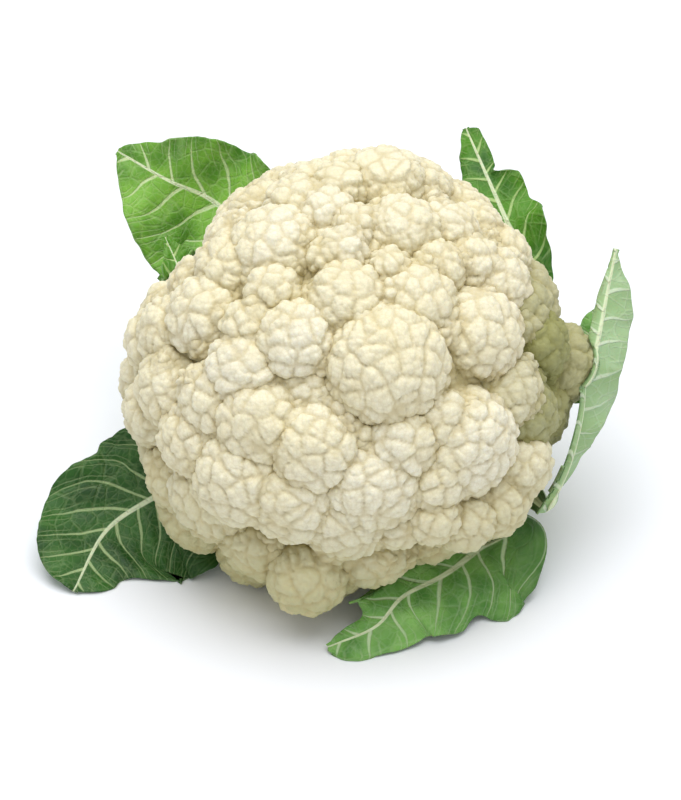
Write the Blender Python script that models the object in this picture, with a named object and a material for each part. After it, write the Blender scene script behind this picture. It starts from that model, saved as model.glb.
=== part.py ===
"""A trimmed cauliflower head on a table, tipped towards the viewer, with the leaves left on it.

Metres, +Z up. The viewer stands on the -Y side and looks along +Y and down. The origin is on the
table, under the middle of the whole thing. The curd is one closed solid with its florets raised
from it as domes. The stalk flares out into ribbed branches under the curd. Each leaf is one closed
blade whose rib thickens into its own stalk, which ends just off the head's stalk.
"""

import functools
import math
import random

import bmesh
import bpy
import numpy as np
from mathutils import Matrix

MM = 0.001
GAP = 0.35 * MM

# The head's pose: its middle, how far it tips forward from upright, and the view that the florets
# and leaves are laid out in, as millimetres across and up from the head's middle.
HEAD_MIDDLE = np.array((4.4, -12.1, 73.0)) * MM
TIP_FORWARD = math.radians(40)
VIEW_DOWN = math.radians(36)
VIEW_DISTANCE = 1.5

# The curd: the spheroid that the florets' tops reach, the core under them, the flat underneath,
# and how a floret's dome falls away, as shares of its radius.
CURD_RADIUS = 91 * MM
CURD_TOP = 79 * MM
CURD_BOTTOM = 56 * MM
CORE_SHARE = 0.84
CURD_SEAT = 40 * MM
CURD_CUTS = 27
DOME_REACH = 0.86
DOME_SLOPE = 1.7

# Places where the curd is less full: across, up, how wide and how deep, in millimetres.
DENTS = ((34, -90, 26, 16), (14, -90, 14, 14), (-70, 58, 27, 22), (-80, -29, 12, 12), (-20, 90, 16, 4))

# The stalk: a round stem that flares out into ribbed branches under the curd.
STALK_RADIUS = 23.5 * MM
STALK_END = 76.5 * MM
STALK_EDGE = 1.5 * MM
FLARE_RADIUS = 47 * MM
FLARE_FOOT = 56 * MM
FLARE_RINGS = 5
FLARE_CURVE = 1.6
BRANCHES = 9
BRANCH_DEPTH = 4.0 * MM
STALK_SIDES = 45

# Florets that the viewer sees: across, up, radius and how far the top stands out, in millimetres.
FLORETS_SEEN = (
    (20, 5, 26, 8),
    (1, 35, 17, 2),
    (34, 34, 17, 2),
    (-1, 56, 11, 0),
    (20, 48, 9, -1),
    (64, 20, 20, 2),
    (46, 20, 8, -3),
    (-23, 16, 17, 3),
    (-47, 2, 17, 2),
    (-44, 22, 12, 0),
    (-66, 28, 18, 1),
    (-33, 38, 12, 0),
    (-34, 60, 21, 2),
    (-8, 73, 12, 0),
    (5, 66, 10, 0),
    (27, 66, 17, 2),
    (18, 85, 17, 5),
    (-22, 79, 14, 0),
    (-2, 83, 12, 2),
    (47, 65, 14, 1),
    (43, 49, 12, 0),
    (58, 50, 13, 1),
    (69, 42, 15, 2),
    (60, 67, 12, -1),
    (95, 5, 17, 10),
    (86, 14, 14, 3),
    (78, -8, 17, -1),
    (-82, 20, 16, 0),
    (-82, -6, 17, 0),
    (-62, -12, 17, 0),
    (-20, -9, 13, -6),
    (-3, -17, 10, -6),
    (-14, -34, 19, 4),
    (-40, -22, 19, 3),
    (-70, -30, 17, 2),
    (-48, -48, 22, 4),
    (-66, -62, 18, 6),
    (-24, -58, 19, 3),
    (-42, -80, 16, 5),
    (-16, -85, 17, 10),
    (5, -30, 10, -5),
    (13, -52, 21, 3),
    (27, -32, 15, 2),
    (44, -20, 12, 0),
    (58, -33, 24, 3),
    (41, -48, 14, 1),
    (77, -40, 15, 4),
    (66, -56, 15, 5),
    (38, -62, 12, 3),
    (52, -63, 13, 5),
    (24, -68, 10, -1),
)

# The floret that the head rests on: its place on the table from under the head's middle, its
# radius and how far its top goes past the table, in millimetres.
REST_PLACE = (-6, -38)
REST_RADIUS = 23
REST_PAST = 0.6

# Florets round the back and underneath, spread evenly by the golden angle.
GOLDEN_ANGLE = math.pi * (3 - math.sqrt(5))
HIDDEN_TRIES = 110
HIDDEN_RADIUS = 17 * MM
HIDDEN_SPREAD = (0.75, 1.2)
HIDDEN_LOWEST = -0.62
HIDDEN_SPACING = 0.95
FLORET_SEED = 11

# How far a leaf keeps off the spheroid of the curd, its florets, the flare above it and the table.
CURD_KEEP = 3.5 * MM
FLORET_KEEP = 2.6 * MM
FLARE_KEEP = 2.0 * MM
TABLE_KEEP = 0.2 * MM
CLEARING_ROUNDS = 8

# Every leaf. root: degrees round the stalk from the viewer's right and millimetres down from the
# head's middle. rib: across, up and height over the table in millimetres. faces: the way the upper
# side looks (right, up, to the viewer) where the blade starts and at its tip. blade: its length.
# left and right: the outline on each side of the rib, as shares along the blade and widths. bend:
# degrees that it turns up, left and right of the rib. wave: the edge waves' height, their number
# and phase. stem: half width and thickness at the root. steps: how many rows of faces the stem and
# the blade have.
LEAVES = {
    "leaf_upper_left": {
        "root": (141, 63),
        "rib": ((-34, 50, 80), (-52, 69, 92), (-71, 78, 104), (-91, 89.5, 113)),
        "faces": ((0.25, -0.35, 0.9), (0.15, -0.05, 1.0)),
        "blade": 95,
        "left": (
            (0, 2), (0.15, 20), (0.3, 35), (0.45, 41), (0.6, 39.5), (0.65, 38), (0.7, 35), (0.74, 30),
            (0.8, 24.5), (0.83, 22), (0.87, 17), (0.93, 10.5), (0.97, 5.5), (1, 0),
        ),
        "right": (
            (0, 2), (0.1, 10), (0.25, 20), (0.4, 26), (0.47, 27), (0.52, 25.5), (0.63, 24), (0.68, 23),
            (0.77, 19.5), (0.82, 16), (0.85, 12.5), (0.9, 10), (0.95, 6.5), (0.99, 2.5), (1, 0),
        ),
        "bend": (16, 14),
        "wave": (1.6, 5, 0.4),
        "stem": (7.0, 7.0),
        "steps": (6, 20),
    },
    "leaf_small_left": {
        "root": (172, 61),
        "rib": ((-64, 36, 84), (-68, 46, 91), (-72, 55, 97)),
        "faces": ((0.3, -0.1, 0.9), (0.2, 0.1, 1.0)),
        "blade": 40,
        "left": ((0, 2), (0.2, 6), (0.4, 8), (0.7, 5.5), (1, 0)),
        "right": ((0, 2), (0.2, 11), (0.4, 14), (0.7, 9.5), (1, 0)),
        "bend": (20, 20),
        "wave": (0.6, 5, 1.0),
        "stem": (3.6, 4.5),
        "steps": (5, 8),
    },
    "leaf_upper_right": {
        "root": (66, 63),
        "rib": ((52, 25, 70), (72, 45, 84), (65, 61, 95), (57, 79, 106), (48.4, 98.5, 117)),
        "faces": ((-0.2, -0.35, 0.9), (0.1, 0.0, 1.0)),
        "blade": 100,
        "left": (
            (0, 2), (0.1, 6), (0.3, 12), (0.5, 15), (0.7, 13), (0.81, 9.5), (0.87, 8), (0.9, 6),
            (0.98, 3), (1, 0),
        ),
        "right": (
            (0, 2), (0.15, 12), (0.27, 16), (0.3, 14.5), (0.33, 13.5), (0.36, 10.5), (0.4, 10.5),
            (0.43, 13.5), (0.46, 15), (0.53, 16.5), (0.56, 15), (0.6, 12.5), (0.67, 13.5), (0.71, 13),
            (0.73, 10.5), (0.75, 6), (0.765, 3.5), (0.8, 5), (0.89, 5.5), (0.97, 5), (1, 0),
        ),
        "bend": (20, 4),
        "wave": (2.4, 4, 2.2),
        "stem": (7.0, 7.0),
        "steps": (6, 24),
    },
    "leaf_small_right": {
        "root": (28, 61),
        "rib": ((90, -8, 56), (98, 10, 68), (102, 28, 80)),
        "faces": ((-0.4, 0.0, 0.9), (-0.2, 0.0, 1.0)),
        "blade": 50,
        "left": ((0, 2), (0.3, 5), (0.6, 7.5), (0.85, 6), (1, 0)),
        "right": ((0, 2), (0.3, 5), (0.6, 6.5), (0.85, 5), (1, 0)),
        "bend": (20, 20),
        "wave": (0.6, 3, 0.0),
        "stem": (3.6, 4.5),
        "steps": (5, 8),
    },
    "leaf_right": {
        "root": (-6, 63),
        "rib": (
            (77, -51, 36), (83, -39, 47), (87, -25, 60), (92, -10, 71), (99, 6, 84), (105, 34, 102),
            (108.5, 50.5, 114),
        ),
        "faces": ((-0.6, 0.2, -0.75), (-0.2, 0.05, -1.0)),
        "blade": 112,
        "left": (
            (0, 2), (0.06, 3), (0.1, 4), (0.13, 8), (0.18, 12), (0.23, 14.5), (0.27, 17), (0.37, 17),
            (0.42, 18), (0.48, 19), (0.52, 17.5), (0.57, 15), (0.62, 14.5), (0.7, 14), (0.78, 14.5),
            (0.84, 11.5), (0.89, 8.5), (0.92, 5.5), (0.96, 2.5), (1, 0),
        ),
        "right": ((0, 2), (0.1, 6), (0.4, 7), (0.6, 6), (0.8, 4.5), (0.95, 2), (1, 0)),
        "bend": (16, 120),
        "wave": (1.4, 4, 0.0),
        "stem": (7.0, 7.0),
        "steps": (6, 22),
    },
    "leaf_lower_right": {
        "root": (-52, 63),
        "rib": ((66, -58, 22), (53, -70, 17), (40, -80, 16), (23, -89, 14), (12, -101, 8), (-7, -109, 2)),
        "faces": ((0.1, 0.42, 0.9), (0.05, 0.5, 0.85)),
        "blade": 110,
        "left": (
            (0, 2), (0.06, 5), (0.12, 14), (0.15, 19), (0.19, 25.5), (0.24, 28), (0.32, 30), (0.39, 31),
            (0.415, 28), (0.44, 22), (0.47, 20.5), (0.53, 23.5), (0.62, 21.5), (0.75, 16.5), (0.8, 13),
            (0.84, 10.5), (0.91, 10.5), (0.96, 9), (0.99, 5), (1, 0),
        ),
        "right": (
            (0, 2), (0.1, 10), (0.3, 20), (0.5, 26), (0.62, 28), (0.68, 26), (0.74, 18), (0.8, 11),
            (0.84, 6.5), (0.92, 5), (1, 0),
        ),
        "bend": (-24, 12),
        "wave": (1.6, 3, 1.5),
        "stem": (7.0, 6.5),
        "steps": (6, 24),
    },
    "leaf_lower_left": {
        "root": (207, 63),
        "rib": ((-60, -42, 25), (-78, -50, 18), (-96, -63, 10), (-108.5, -86.5, 1.5)),
        "faces": ((0.0, 0.3, 0.95), (0.05, 0.3, 0.95)),
        "blade": 85,
        "left": (
            (0, 2), (0.1, 20), (0.2, 38), (0.38, 39.5), (0.5, 40), (0.62, 40), (0.72, 38), (0.78, 30),
            (0.82, 19), (0.86, 15.5), (0.9, 14.5), (0.94, 11.5), (0.97, 7), (1, 0),
        ),
        "right": (
            (0, 2), (0.15, 20), (0.31, 31), (0.39, 31.5), (0.44, 31), (0.47, 28), (0.52, 29), (0.6, 29.5),
            (0.66, 28), (0.72, 25.5), (0.79, 24), (0.85, 21.5), (0.92, 17), (0.98, 9.5), (1, 0),
        ),
        "bend": (4, 12),
        "wave": (1.8, 4, 0.5),
        "stem": (7.0, 6.5),
        "steps": (6, 22),
    },
}
BLADE_THICKNESS = 1.1 * MM
RIB_TIP = 1.2 * MM
RIB_FLOW = 1.3
EDGE_MINIMUM = 0.9 * MM
RIB_STRIPS = 2
BLADE_STRIPS = 3
RIB_SAMPLES = 400
CURVE_STEPS = 40
ROOT_RUN = 16 * MM

# The rib narrows over the last twelfth of the leaf, down to a share of its width. The blade's bend
# grows over its first eighth. The rows lie closer towards the tip. The waves grow from the rib to
# the edge, run differently left of it, and fade at both ends of the blade.
TIP_TAPER = 12
TIP_LEAST = 0.35
BEND_RUN = 8
ROW_CROWDING = 1.2
WAVE_RISE = 1.5
WAVE_SHIFT = 1.3
WAVE_FADE = 0.5

# How far apart the points are that give the blade's slope, as a share of its length, how often a
# seen spot is refined, and a length to keep off zero.
SLOPE_STEP = 0.004
VIEW_ROUNDS = 8
TINY = 1e-6

CURD_FINISH = ((0.86, 0.80, 0.62), 0.62)
STALK_FINISH = ((0.74, 0.80, 0.52), 0.5)
LEAF_FINISH = ((0.16, 0.36, 0.08), 0.45)


def clear_scene():
    for obj in list(bpy.data.objects):
        bpy.data.objects.remove(obj)


def make_material(name, finish):
    colour, roughness = finish
    made = bpy.data.materials.new(name)
    made.use_nodes = True
    shader = made.node_tree.nodes["Principled BSDF"]
    shader.inputs["Base Color"].default_value = (*colour, 1.0)
    shader.inputs["Roughness"].default_value = roughness
    shader.inputs["Metallic"].default_value = 0.0
    return made


def add_object(name, bm, material):
    bmesh.ops.recalc_face_normals(bm, faces=bm.faces[:])
    mesh = bpy.data.meshes.new(name)
    bm.to_mesh(mesh)
    bm.free()
    mesh.materials.append(material)
    mesh.shade_smooth()
    obj = bpy.data.objects.new(name, mesh)
    bpy.context.scene.collection.objects.link(obj)
    return obj


# The head's own frame has +Z up its axis. These turn its directions, and those of the view
# (right, up, to the viewer), to the world's.
HEAD_TURN = np.array(Matrix.Rotation(TIP_FORWARD, 3, "X"))
VIEW_TURN = np.array(
    (
        (1.0, 0.0, 0.0),
        (0.0, math.sin(VIEW_DOWN), -math.cos(VIEW_DOWN)),
        (0.0, math.cos(VIEW_DOWN), math.sin(VIEW_DOWN)),
    )
)


def unit(vectors):
    return vectors / np.linalg.norm(vectors, axis=-1, keepdims=True)


def spheroid(rays):
    """How far the plain spheroid is from the head's middle along unit rays in the head's frame."""
    depth = np.where(rays[..., 2] > 0, CURD_TOP, CURD_BOTTOM)
    flat = (rays[..., 0] ** 2 + rays[..., 1] ** 2) / CURD_RADIUS**2
    return 1 / np.sqrt(flat + (rays[..., 2] / depth) ** 2)


def ray_seen(across, up):
    """The ray from the head's middle to the place on the curd that is seen at that spot."""
    toward = 0.0
    for _ in range(VIEW_ROUNDS):
        near = 1 - toward / VIEW_DISTANCE
        spot = np.array((across * near, up * near, toward))
        ray = unit(HEAD_TURN.T @ VIEW_TURN @ spot)
        left = spheroid(ray) ** 2 - spot[0] ** 2 - spot[1] ** 2
        toward = math.sqrt(max(left, 0.0))
    return ray


def point_seen(across, up, height):
    """The point seen at that spot that is this high over the table."""
    toward = 0.0
    for _ in range(VIEW_ROUNDS):
        near = 1 - toward / VIEW_DISTANCE
        rise = height - HEAD_MIDDLE[2] - up * near * math.cos(VIEW_DOWN)
        toward = rise / math.sin(VIEW_DOWN)
    return HEAD_MIDDLE + VIEW_TURN @ np.array((across * near, up * near, toward))


DENT_RAYS = [ray_seen(across * MM, up * MM) for across, up, _, _ in DENTS]


def envelope(rays):
    """The spheroid with its dents, which the florets' tops reach."""
    reach = spheroid(rays)
    for ray, (_, _, wide, deep) in zip(DENT_RAYS, DENTS):
        away = np.linalg.norm(rays - ray, axis=-1) * CURD_RADIUS / (wide * MM)
        reach = reach - deep * MM * np.exp(-(away**2))
    return reach


@functools.cache
def florets():
    """Every floret as the ray to its top, the top's distance and its radius."""
    found = []
    for across, up, radius, lift in FLORETS_SEEN:
        ray = ray_seen(across * MM, up * MM)
        found.append((ray, float(envelope(ray)) + lift * MM, radius * MM))
    rest = np.array((*REST_PLACE, -HEAD_MIDDLE[2] / MM)) * MM
    found.append((unit(HEAD_TURN.T @ rest), np.linalg.norm(rest) + REST_PAST * MM, REST_RADIUS * MM))
    draw = random.Random(FLORET_SEED)
    for n in range(HIDDEN_TRIES):
        z = 1 - (1 - HIDDEN_LOWEST) * (n + 0.5) / HIDDEN_TRIES
        ring = math.sqrt(1 - z * z)
        angle = n * GOLDEN_ANGLE
        ray = np.array((ring * math.cos(angle), ring * math.sin(angle), z))
        radius = HIDDEN_RADIUS * draw.uniform(*HIDDEN_SPREAD)
        top = float(envelope(ray))
        spaces = [np.linalg.norm(ray * top - other * far) for other, far, _ in found]
        sizes = [max(radius, size) for _, _, size in found]
        if all(space > HIDDEN_SPACING * size for space, size in zip(spaces, sizes)):
            found.append((ray, top, radius))
    return found


def curd_reach(rays):
    """How far the curd's surface is from the head's middle along unit rays in the head's frame."""
    reach = envelope(rays) * CORE_SHARE
    for ray, top, radius in florets():
        out = np.linalg.norm(rays - ray, axis=-1) * top / radius
        round_part = 1 - np.sqrt(1 - np.minimum(out, DOME_REACH) ** 2)
        fall = round_part + DOME_SLOPE * np.maximum(out - DOME_REACH, 0)
        reach = np.maximum(reach, top - radius * fall)
    down = np.maximum(-rays[..., 2], TINY)
    reach = np.minimum(reach, CURD_SEAT / down)
    sinking = np.maximum(-(rays @ HEAD_TURN.T)[..., 2], TINY)
    return np.minimum(reach, HEAD_MIDDLE[2] / sinking)


def curd(material):
    bm = bmesh.new()
    bmesh.ops.create_cube(bm, size=2.0)
    bmesh.ops.subdivide_edges(bm, edges=bm.edges[:], cuts=CURD_CUTS, use_grid_fill=True)
    bmesh.ops.triangulate(bm, faces=bm.faces[:])
    rays = unit(np.tan(np.array([v.co for v in bm.verts]) * math.pi / 4))
    places = HEAD_MIDDLE + (rays * curd_reach(rays)[:, None]) @ HEAD_TURN.T
    for vertex, place in zip(bm.verts, places):
        vertex.co = place
    return add_object("curd", bm, material)


def stalk_radius(depth):
    """The stalk's radius this far below the head's middle, over its ribs."""
    share = np.clip((FLARE_FOOT - depth) / (FLARE_FOOT - CURD_SEAT), 0, 1)
    return STALK_RADIUS + (FLARE_RADIUS - STALK_RADIUS) * share**FLARE_CURVE


def stalk(material):
    top = CURD_SEAT + GAP
    depths = list(np.linspace(top, FLARE_FOOT, FLARE_RINGS))
    depths += [(FLARE_FOOT + STALK_END) / 2, STALK_END - STALK_EDGE, STALK_END]
    bm = bmesh.new()
    ring = bmesh.ops.create_circle(bm, cap_ends=True, segments=STALK_SIDES, radius=1.0)["verts"]
    face = next(iter(bm.faces))
    rows = [ring]
    for _ in depths[1:]:
        made = bmesh.ops.extrude_face_region(bm, geom=[face], use_keep_orig=True)
        if len(rows) > 1:
            bmesh.ops.delete(bm, geom=[face], context="FACES_ONLY")
        face = next(part for part in made["geom"] if isinstance(part, bmesh.types.BMFace))
        rows.append([part for part in made["geom"] if isinstance(part, bmesh.types.BMVert)])
    for row, depth in zip(rows, depths):
        ribbed = np.clip((FLARE_FOOT - depth) / (FLARE_FOOT - top), 0, 1)
        for vertex in row:
            angle = math.atan2(vertex.co.y, vertex.co.x)
            groove = 1 - abs(math.cos(angle * BRANCHES / 2))
            radius = float(stalk_radius(depth)) - BRANCH_DEPTH * ribbed * groove
            radius -= STALK_EDGE if depth == STALK_END else 0
            place = np.array((radius * math.cos(angle), radius * math.sin(angle), -depth))
            vertex.co = HEAD_MIDDLE + HEAD_TURN @ place
    return add_object("stalk", bm, material)


def smooth_line(points):
    """A Catmull-Rom curve through the points, sampled evenly along it, and its length."""
    padded = np.vstack((2 * points[0] - points[1], points, 2 * points[-1] - points[-2]))
    pieces = []
    steps = np.linspace(0, 1, CURVE_STEPS, endpoint=False)[:, None]
    for a, b, c, d in zip(padded, padded[1:], padded[2:], padded[3:]):
        bend = 2 * a - 5 * b + 4 * c - d
        twist = 3 * (b - c) + d - a
        pieces.append(b + 0.5 * steps * (c - a + steps * (bend + steps * twist)))
    line = np.vstack(pieces + [points[-1:]])
    lengths = np.concatenate(([0], np.cumsum(np.linalg.norm(np.diff(line, axis=0), axis=1))))
    evenly = np.linspace(0, lengths[-1], RIB_SAMPLES)
    return np.column_stack([np.interp(evenly, lengths, line[:, k]) for k in range(3)]), lengths[-1]


def lay_rib(leaf):
    """Adds the rib from the stalk to the tip, the way the blade faces and where the blade starts."""
    turn, depth = leaf["root"]
    angle = math.radians(turn)
    outward = np.array((math.cos(angle), math.sin(angle), 0.0))
    start = outward * (STALK_RADIUS + 2 * GAP) - np.array((0, 0, depth * MM))
    leaving = start + outward * ROOT_RUN
    near = [HEAD_MIDDLE + HEAD_TURN @ place for place in (start, leaving)]
    seen = [point_seen(*(value * MM for value in spot)) for spot in leaf["rib"]]
    line, length = smooth_line(np.array(near + seen))
    leaf["start"] = 1 - leaf["blade"] * MM / length
    along = np.linspace(0, 1, RIB_SAMPLES)
    knots = (0, leaf["start"], 1)
    faces = np.array((HEAD_TURN[:, 2], *(VIEW_TURN @ np.array(way) for way in leaf["faces"])))
    facing = np.column_stack([np.interp(along, knots, faces[:, k]) for k in range(3)])
    heading = unit(np.gradient(line, axis=0))
    facing = unit(facing - heading * np.sum(facing * heading, axis=1, keepdims=True))
    leaf["line"] = (line, heading, facing)


def off_stalk(places):
    """Moves points beside the stalk straight out from its axis until they clear it."""
    local = (places - HEAD_MIDDLE) @ HEAD_TURN
    around = np.linalg.norm(local[..., :2], axis=-1, keepdims=True)
    needed = stalk_radius(-local[..., 2:] - FLARE_KEEP) + GAP
    low = local[..., 2:] < -CURD_SEAT
    local[..., :2] *= np.where(low, np.maximum(needed / around, 1), 1)
    return HEAD_MIDDLE + local @ HEAD_TURN.T


def keep_clear(places, half):
    """Moves points out of the curd, off the stalk and above the table, a little at a time."""
    for _ in range(CLEARING_ROUNDS):
        local = (places - HEAD_MIDDLE) @ HEAD_TURN
        far = np.linalg.norm(local, axis=-1, keepdims=True)
        rays = local / far
        needed = np.maximum(envelope(rays) + CURD_KEEP, curd_reach(rays) + FLORET_KEEP)
        local = local * np.maximum((needed[..., None] + half) / far, 1)
        places = off_stalk(HEAD_MIDDLE + local @ HEAD_TURN.T)
        places[..., 2:] = np.maximum(places[..., 2:], half + TABLE_KEEP)
    return places


def by_side(across, pair):
    """The value for the side of the rib that each point lies on."""
    return np.where(across < 0, pair[0], pair[1])


def rib_size(leaf, along):
    """The rib's half width and how far it stands out below the blade."""
    wide, thick = (value * MM for value in leaf["stem"])
    half = wide + (RIB_TIP - wide) * along ** (1 / RIB_FLOW)
    half = half * np.clip((1 - along) * TIP_TAPER, TIP_LEAST, 1)
    return half, (thick - BLADE_THICKNESS) * (1 - along) ** RIB_FLOW


def outline_width(outline, share):
    """A smooth line through an outline's points that goes no further out than they do."""
    where, widths = np.array(outline, dtype=float).T
    slopes = np.diff(widths) / np.diff(where)
    sums = slopes[:-1] + slopes[1:]
    level = slopes[:-1] * slopes[1:] <= 0
    inner = np.where(level, 0, 2 * slopes[:-1] * slopes[1:] / np.where(level, 1, sums))
    ways = np.concatenate((slopes[:1], inner, slopes[-1:]))
    near = np.clip(np.searchsorted(where, share, side="right") - 1, 0, len(slopes) - 1)
    span = where[near + 1] - where[near]
    part = (share - where[near]) / span
    rest = 1 - part
    ends = widths[near] * rest**2 * (1 + 2 * part) + widths[near + 1] * part**2 * (3 - 2 * part)
    return ends + span * part * rest * (ways[near] * rest - ways[near + 1] * part)


def half_width(leaf, along, across):
    share = np.clip((along - leaf["start"]) / (1 - leaf["start"]), 0, 1)
    left = outline_width(leaf["left"], share)
    half = np.where(across < 0, left, outline_width(leaf["right"], share)) * MM
    return np.maximum(half, rib_size(leaf, along)[0] + EDGE_MINIMUM), share


def leaf_middle(leaf, along, across):
    """The middle of the blade at shares along it (0 to 1) and across it (-1 to 1).

    The inner half of the span across covers the rib, and the outer half the blade beside it.
    """
    sample = along * (RIB_SAMPLES - 1)
    place, forward, up = (
        np.stack([np.interp(sample, range(RIB_SAMPLES), values[:, k]) for k in range(3)], -1)
        for values in leaf["line"]
    )
    forward = unit(forward)
    up = unit(up)
    half, share = half_width(leaf, along, across)
    rib = rib_size(leaf, along)[0]
    on_blade = np.maximum(np.abs(across) * 2 - 1, 0)
    out = np.minimum(np.abs(across) * 2, 1) * rib + on_blade * (half - rib)
    bend = np.radians(by_side(across, leaf["bend"])) * np.clip(share * BEND_RUN, 0, 1) + TINY
    height, count, phase = leaf["wave"]
    wave = np.sin(2 * math.pi * count * share + phase + WAVE_SHIFT * (across < 0))
    wave = wave * height * MM * on_blade**WAVE_RISE * np.sin(math.pi * share) ** WAVE_FADE
    sideways = half / bend * np.sin(bend * out / half) * np.sign(across)
    rise = half / bend * (1 - np.cos(bend * out / half)) + wave
    middle = place + np.cross(forward, up) * sideways[..., None] + up * rise[..., None]
    return keep_clear(middle, BLADE_THICKNESS / 2)


def leaf_sides(leaf, along, across):
    """The upper and the lower side of a leaf, half a blade from its middle, with the rib below."""
    step = SLOPE_STEP
    middle = leaf_middle(leaf, along, across)
    ahead = leaf_middle(leaf, np.minimum(along + step, 1), across)
    behind = leaf_middle(leaf, np.maximum(along - step, 0), across)
    right = leaf_middle(leaf, along, np.minimum(across + step, 1))
    left = leaf_middle(leaf, along, np.maximum(across - step, -1))
    normal = unit(np.cross(right - left, ahead - behind))
    deep = rib_size(leaf, along)[1] * (1 - np.minimum(np.abs(across) * 2, 1) ** 2)
    low = off_stalk(middle - normal * (BLADE_THICKNESS / 2 + deep)[..., None])
    low[..., 2] = np.maximum(low[..., 2], 0)
    return off_stalk(middle + normal * BLADE_THICKNESS / 2), low


def add_leaf(name, leaf, material):
    lay_rib(leaf)
    start = leaf["start"]
    stem_steps, blade_steps = leaf["steps"]
    steps = stem_steps + blade_steps
    strips = RIB_STRIPS + BLADE_STRIPS
    bm = bmesh.new()
    bmesh.ops.create_grid(bm, x_segments=steps, y_segments=2 * strips, size=1.0)
    bmesh.ops.triangulate(bm, faces=bm.faces[:], quad_method="FIXED")
    made = bmesh.ops.extrude_face_region(bm, geom=bm.faces[:], use_keep_orig=True)
    upper = [part for part in made["geom"] if isinstance(part, bmesh.types.BMVert)]
    raised = set(upper)
    lower = [vertex for vertex in bm.verts if vertex not in raised]
    for vertices, which in ((upper, 0), (lower, 1)):
        flat = np.array([vertex.co for vertex in vertices])
        row = (flat[:, 0] + 1) / 2 * steps
        tipward = 1 - np.clip((steps - row) / blade_steps, 0, 1) ** ROW_CROWDING
        along = np.where(row < stem_steps, row / stem_steps * start, start + (1 - start) * tipward)
        column = np.abs(flat[:, 1]) * strips
        across = np.interp(column, (0, RIB_STRIPS, strips), (0, 0.5, 1)) * np.sign(flat[:, 1])
        for vertex, place in zip(vertices, leaf_sides(leaf, along, across)[which]):
            vertex.co = place
    return add_object(name, bm, material)


def main():
    clear_scene()
    curd(make_material("curd", CURD_FINISH))
    stalk(make_material("stalk", STALK_FINISH))
    leaf_material = make_material("leaf", LEAF_FINISH)
    for name, leaf in LEAVES.items():
        add_leaf(name, leaf, leaf_material)


main()
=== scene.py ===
import functools
import math
import random

import bmesh
import bpy
import numpy as np
from mathutils import Matrix, Vector


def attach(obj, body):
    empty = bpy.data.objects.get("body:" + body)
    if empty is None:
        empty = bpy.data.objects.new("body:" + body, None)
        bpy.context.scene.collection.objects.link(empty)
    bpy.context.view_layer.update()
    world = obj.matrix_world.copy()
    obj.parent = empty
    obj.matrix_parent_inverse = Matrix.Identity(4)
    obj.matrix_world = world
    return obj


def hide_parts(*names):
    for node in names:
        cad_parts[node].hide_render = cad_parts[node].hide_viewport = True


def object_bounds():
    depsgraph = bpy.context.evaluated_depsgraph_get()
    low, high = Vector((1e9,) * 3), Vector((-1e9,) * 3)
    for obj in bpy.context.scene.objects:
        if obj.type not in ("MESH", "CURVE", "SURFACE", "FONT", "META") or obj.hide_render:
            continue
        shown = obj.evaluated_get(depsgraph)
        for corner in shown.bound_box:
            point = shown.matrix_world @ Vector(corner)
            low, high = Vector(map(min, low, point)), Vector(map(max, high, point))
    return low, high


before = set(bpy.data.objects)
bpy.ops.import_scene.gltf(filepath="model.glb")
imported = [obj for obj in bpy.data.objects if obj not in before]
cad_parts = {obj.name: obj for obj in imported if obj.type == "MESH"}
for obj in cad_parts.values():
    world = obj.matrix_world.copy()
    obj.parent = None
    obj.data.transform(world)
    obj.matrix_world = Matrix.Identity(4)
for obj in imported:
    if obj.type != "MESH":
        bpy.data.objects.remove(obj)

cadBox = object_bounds()
mm = 0.001

# The head stands as the solids do: millimetres, with +Z up the head's own axis.
head = {
    "middle": (4.4, -12.1, 73.0),
    "tipForward": 40,
    "radius": 91,  # of the curd, round its widest part
    "top": 79,
    "bottom": 56,
    "core": 0.84,  # the stems' share under the florets
    "seat": 40,  # the flat underneath, from the middle
    "dents": (  # across, up, how wide and how deep
        (34, -90, 26, 16),
        (14, -90, 14, 14),
        (-70, 58, 27, 22),
        (-80, -29, 12, 12),
        (-20, 90, 16, 4),
        (27, 86, 20, -3.2),  # a dent less than 0 deep stands out
        (-82, 36, 13, -3.0),
    ),
}
photo = {
    "down": 36,  # degrees that the camera looks down
    "distance": 1500,
    "acrossFrame": 320,  # what the long side takes in at the head's middle
    "shift": (-4.5, -25),  # the middle's place off the frame's centre, in pixels
    "pixels": 800,
    "sensor": 36,
}

solveRounds = 8  # each loop that closes in on a place settles well within these
tiny = 1e-6

headMiddle = np.array(head["middle"]) * mm
headTurn = np.array(Matrix.Rotation(math.radians(head["tipForward"]), 3, "X"))
lookDown = math.radians(photo["down"])
viewTurn = np.array(
    (
        (1.0, 0.0, 0.0),
        (0.0, math.sin(lookDown), -math.cos(lookDown)),
        (0.0, math.cos(lookDown), math.sin(lookDown)),
    )
)


def unit(vectors):
    return vectors / np.linalg.norm(vectors, axis=-1, keepdims=True)


def toWorld(places):
    return headMiddle + places @ headTurn.T


def toHead(places):
    return (places - headMiddle) @ headTurn


def smoothStep(value, low, high):
    share = np.clip((value - low) / (high - low), 0, 1)
    return share * share * (3 - 2 * share)


# Shader maths: a Link is a node's output, and plain maths on it adds the Math nodes.
def maths(operation, flipped=False):
    def apply(link, other=0.0):
        first, second = (other, link) if flipped else (link, other)
        return link.finish.node("Math", {"operation": operation}, {0: first, 1: second})

    return apply


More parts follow.
